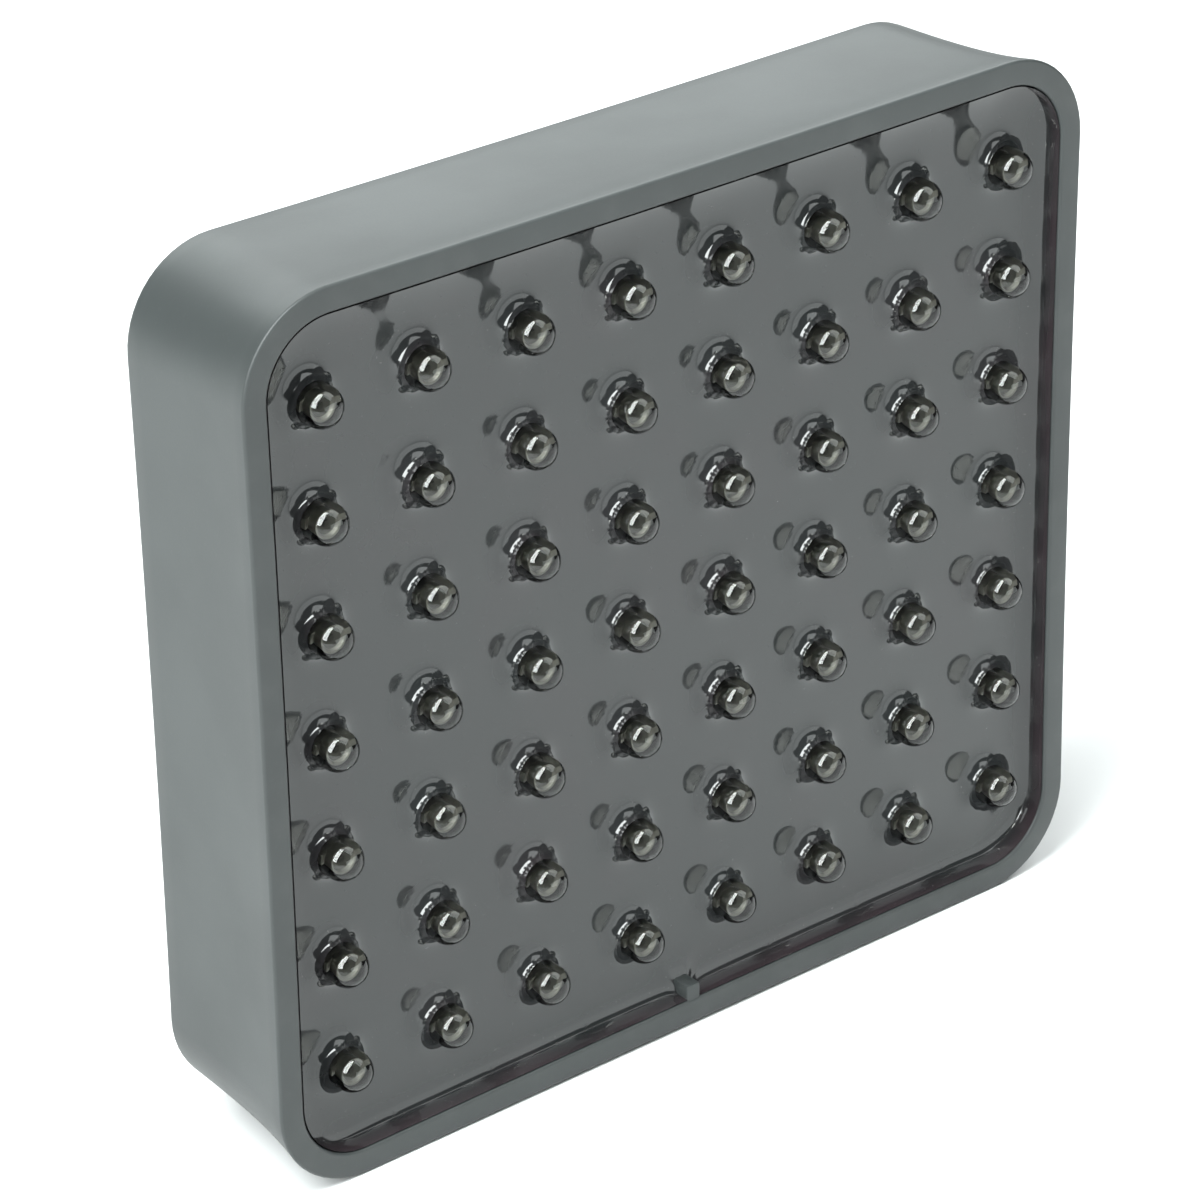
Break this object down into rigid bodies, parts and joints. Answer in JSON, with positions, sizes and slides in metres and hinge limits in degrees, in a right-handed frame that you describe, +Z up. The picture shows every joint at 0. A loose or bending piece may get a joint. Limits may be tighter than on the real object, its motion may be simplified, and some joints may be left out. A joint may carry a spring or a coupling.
{
  "type": "potted led lamp module",
  "caption": "Rounded grey moulded tray of clear round LEDs standing out of glossy dark potting resin, with a circuit board and a rear cable inlet inside.",
  "frame": {"origin": "bottom centre of the whole module, on the surface that it stands on", "axes": "X along the LED rows, +Y from the open front towards the back wall, +Z up"},
  "size_m": [0.123, 0.0264, 0.112],
  "materials": {
    "grey_moulded_plastic": "satin moulded",
    "dark_potting_resin": "glossy self-levelled",
    "clear_epoxy_lens": "clear polished epoxy",
    "board_laminate": "solder mask",
    "black_rubber": "moulded rubber"
  },
  "bodies": {
    "root": {"case": "grey_moulded_plastic", "circuit_board": "board_laminate", "potting_resin": "dark_potting_resin", "cable_grommet": "black_rubber", "led_r1_c1": "clear_epoxy_lens", "led_r1_c2": "clear_epoxy_lens", "led_r1_c3": "clear_epoxy_lens", "led_r1_c4": "clear_epoxy_lens", "led_r1_c5": "clear_epoxy_lens", "led_r1_c6": "clear_epoxy_lens", "led_r1_c7": "clear_epoxy_lens", "led_r1_c8": "clear_epoxy_lens", "led_r2_c1": "clear_epoxy_lens", "led_r2_c2": "clear_epoxy_lens", "led_r2_c3": "clear_epoxy_lens", "led_r2_c4": "clear_epoxy_lens", "led_r2_c5": "clear_epoxy_lens", "led_r2_c6": "clear_epoxy_lens", "led_r2_c7": "clear_epoxy_lens", "led_r2_c8": "clear_epoxy_lens", "led_r3_c1": "clear_epoxy_lens", "led_r3_c2": "clear_epoxy_lens", "led_r3_c3": "clear_epoxy_lens", "led_r3_c4": "clear_epoxy_lens", "led_r3_c5": "clear_epoxy_lens", "led_r3_c6": "clear_epoxy_lens", "led_r3_c7": "clear_epoxy_lens", "led_r3_c8": "clear_epoxy_lens", "led_r4_c1": "clear_epoxy_lens", "led_r4_c2": "clear_epoxy_lens", "led_r4_c3": "clear_epoxy_lens", "led_r4_c4": "clear_epoxy_lens", "led_r4_c5": "clear_epoxy_lens", "led_r4_c6": "clear_epoxy_lens", "led_r4_c7": "clear_epoxy_lens", "led_r4_c8": "clear_epoxy_lens", "led_r5_c1": "clear_epoxy_lens", "led_r5_c2": "clear_epoxy_lens", "led_r5_c3": "clear_epoxy_lens", "led_r5_c4": "clear_epoxy_lens", "led_r5_c5": "clear_epoxy_lens", "led_r5_c6": "clear_epoxy_lens", "led_r5_c7": "clear_epoxy_lens", "led_r5_c8": "clear_epoxy_lens", "led_r6_c1": "clear_epoxy_lens", "led_r6_c2": "clear_epoxy_lens", "led_r6_c3": "clear_epoxy_lens", "led_r6_c4": "clear_epoxy_lens", "led_r6_c5": "clear_epoxy_lens", "led_r6_c6": "clear_epoxy_lens", "led_r6_c7": "clear_epoxy_lens", "led_r6_c8": "clear_epoxy_lens", "led_r7_c1": "clear_epoxy_lens", "led_r7_c2": "clear_epoxy_lens", "led_r7_c3": "clear_epoxy_lens", "led_r7_c4": "clear_epoxy_lens", "led_r7_c5": "clear_epoxy_lens", "led_r7_c6": "clear_epoxy_lens", "led_r7_c7": "clear_epoxy_lens", "led_r7_c8": "clear_epoxy_lens"}
  },
  "joints": []
}
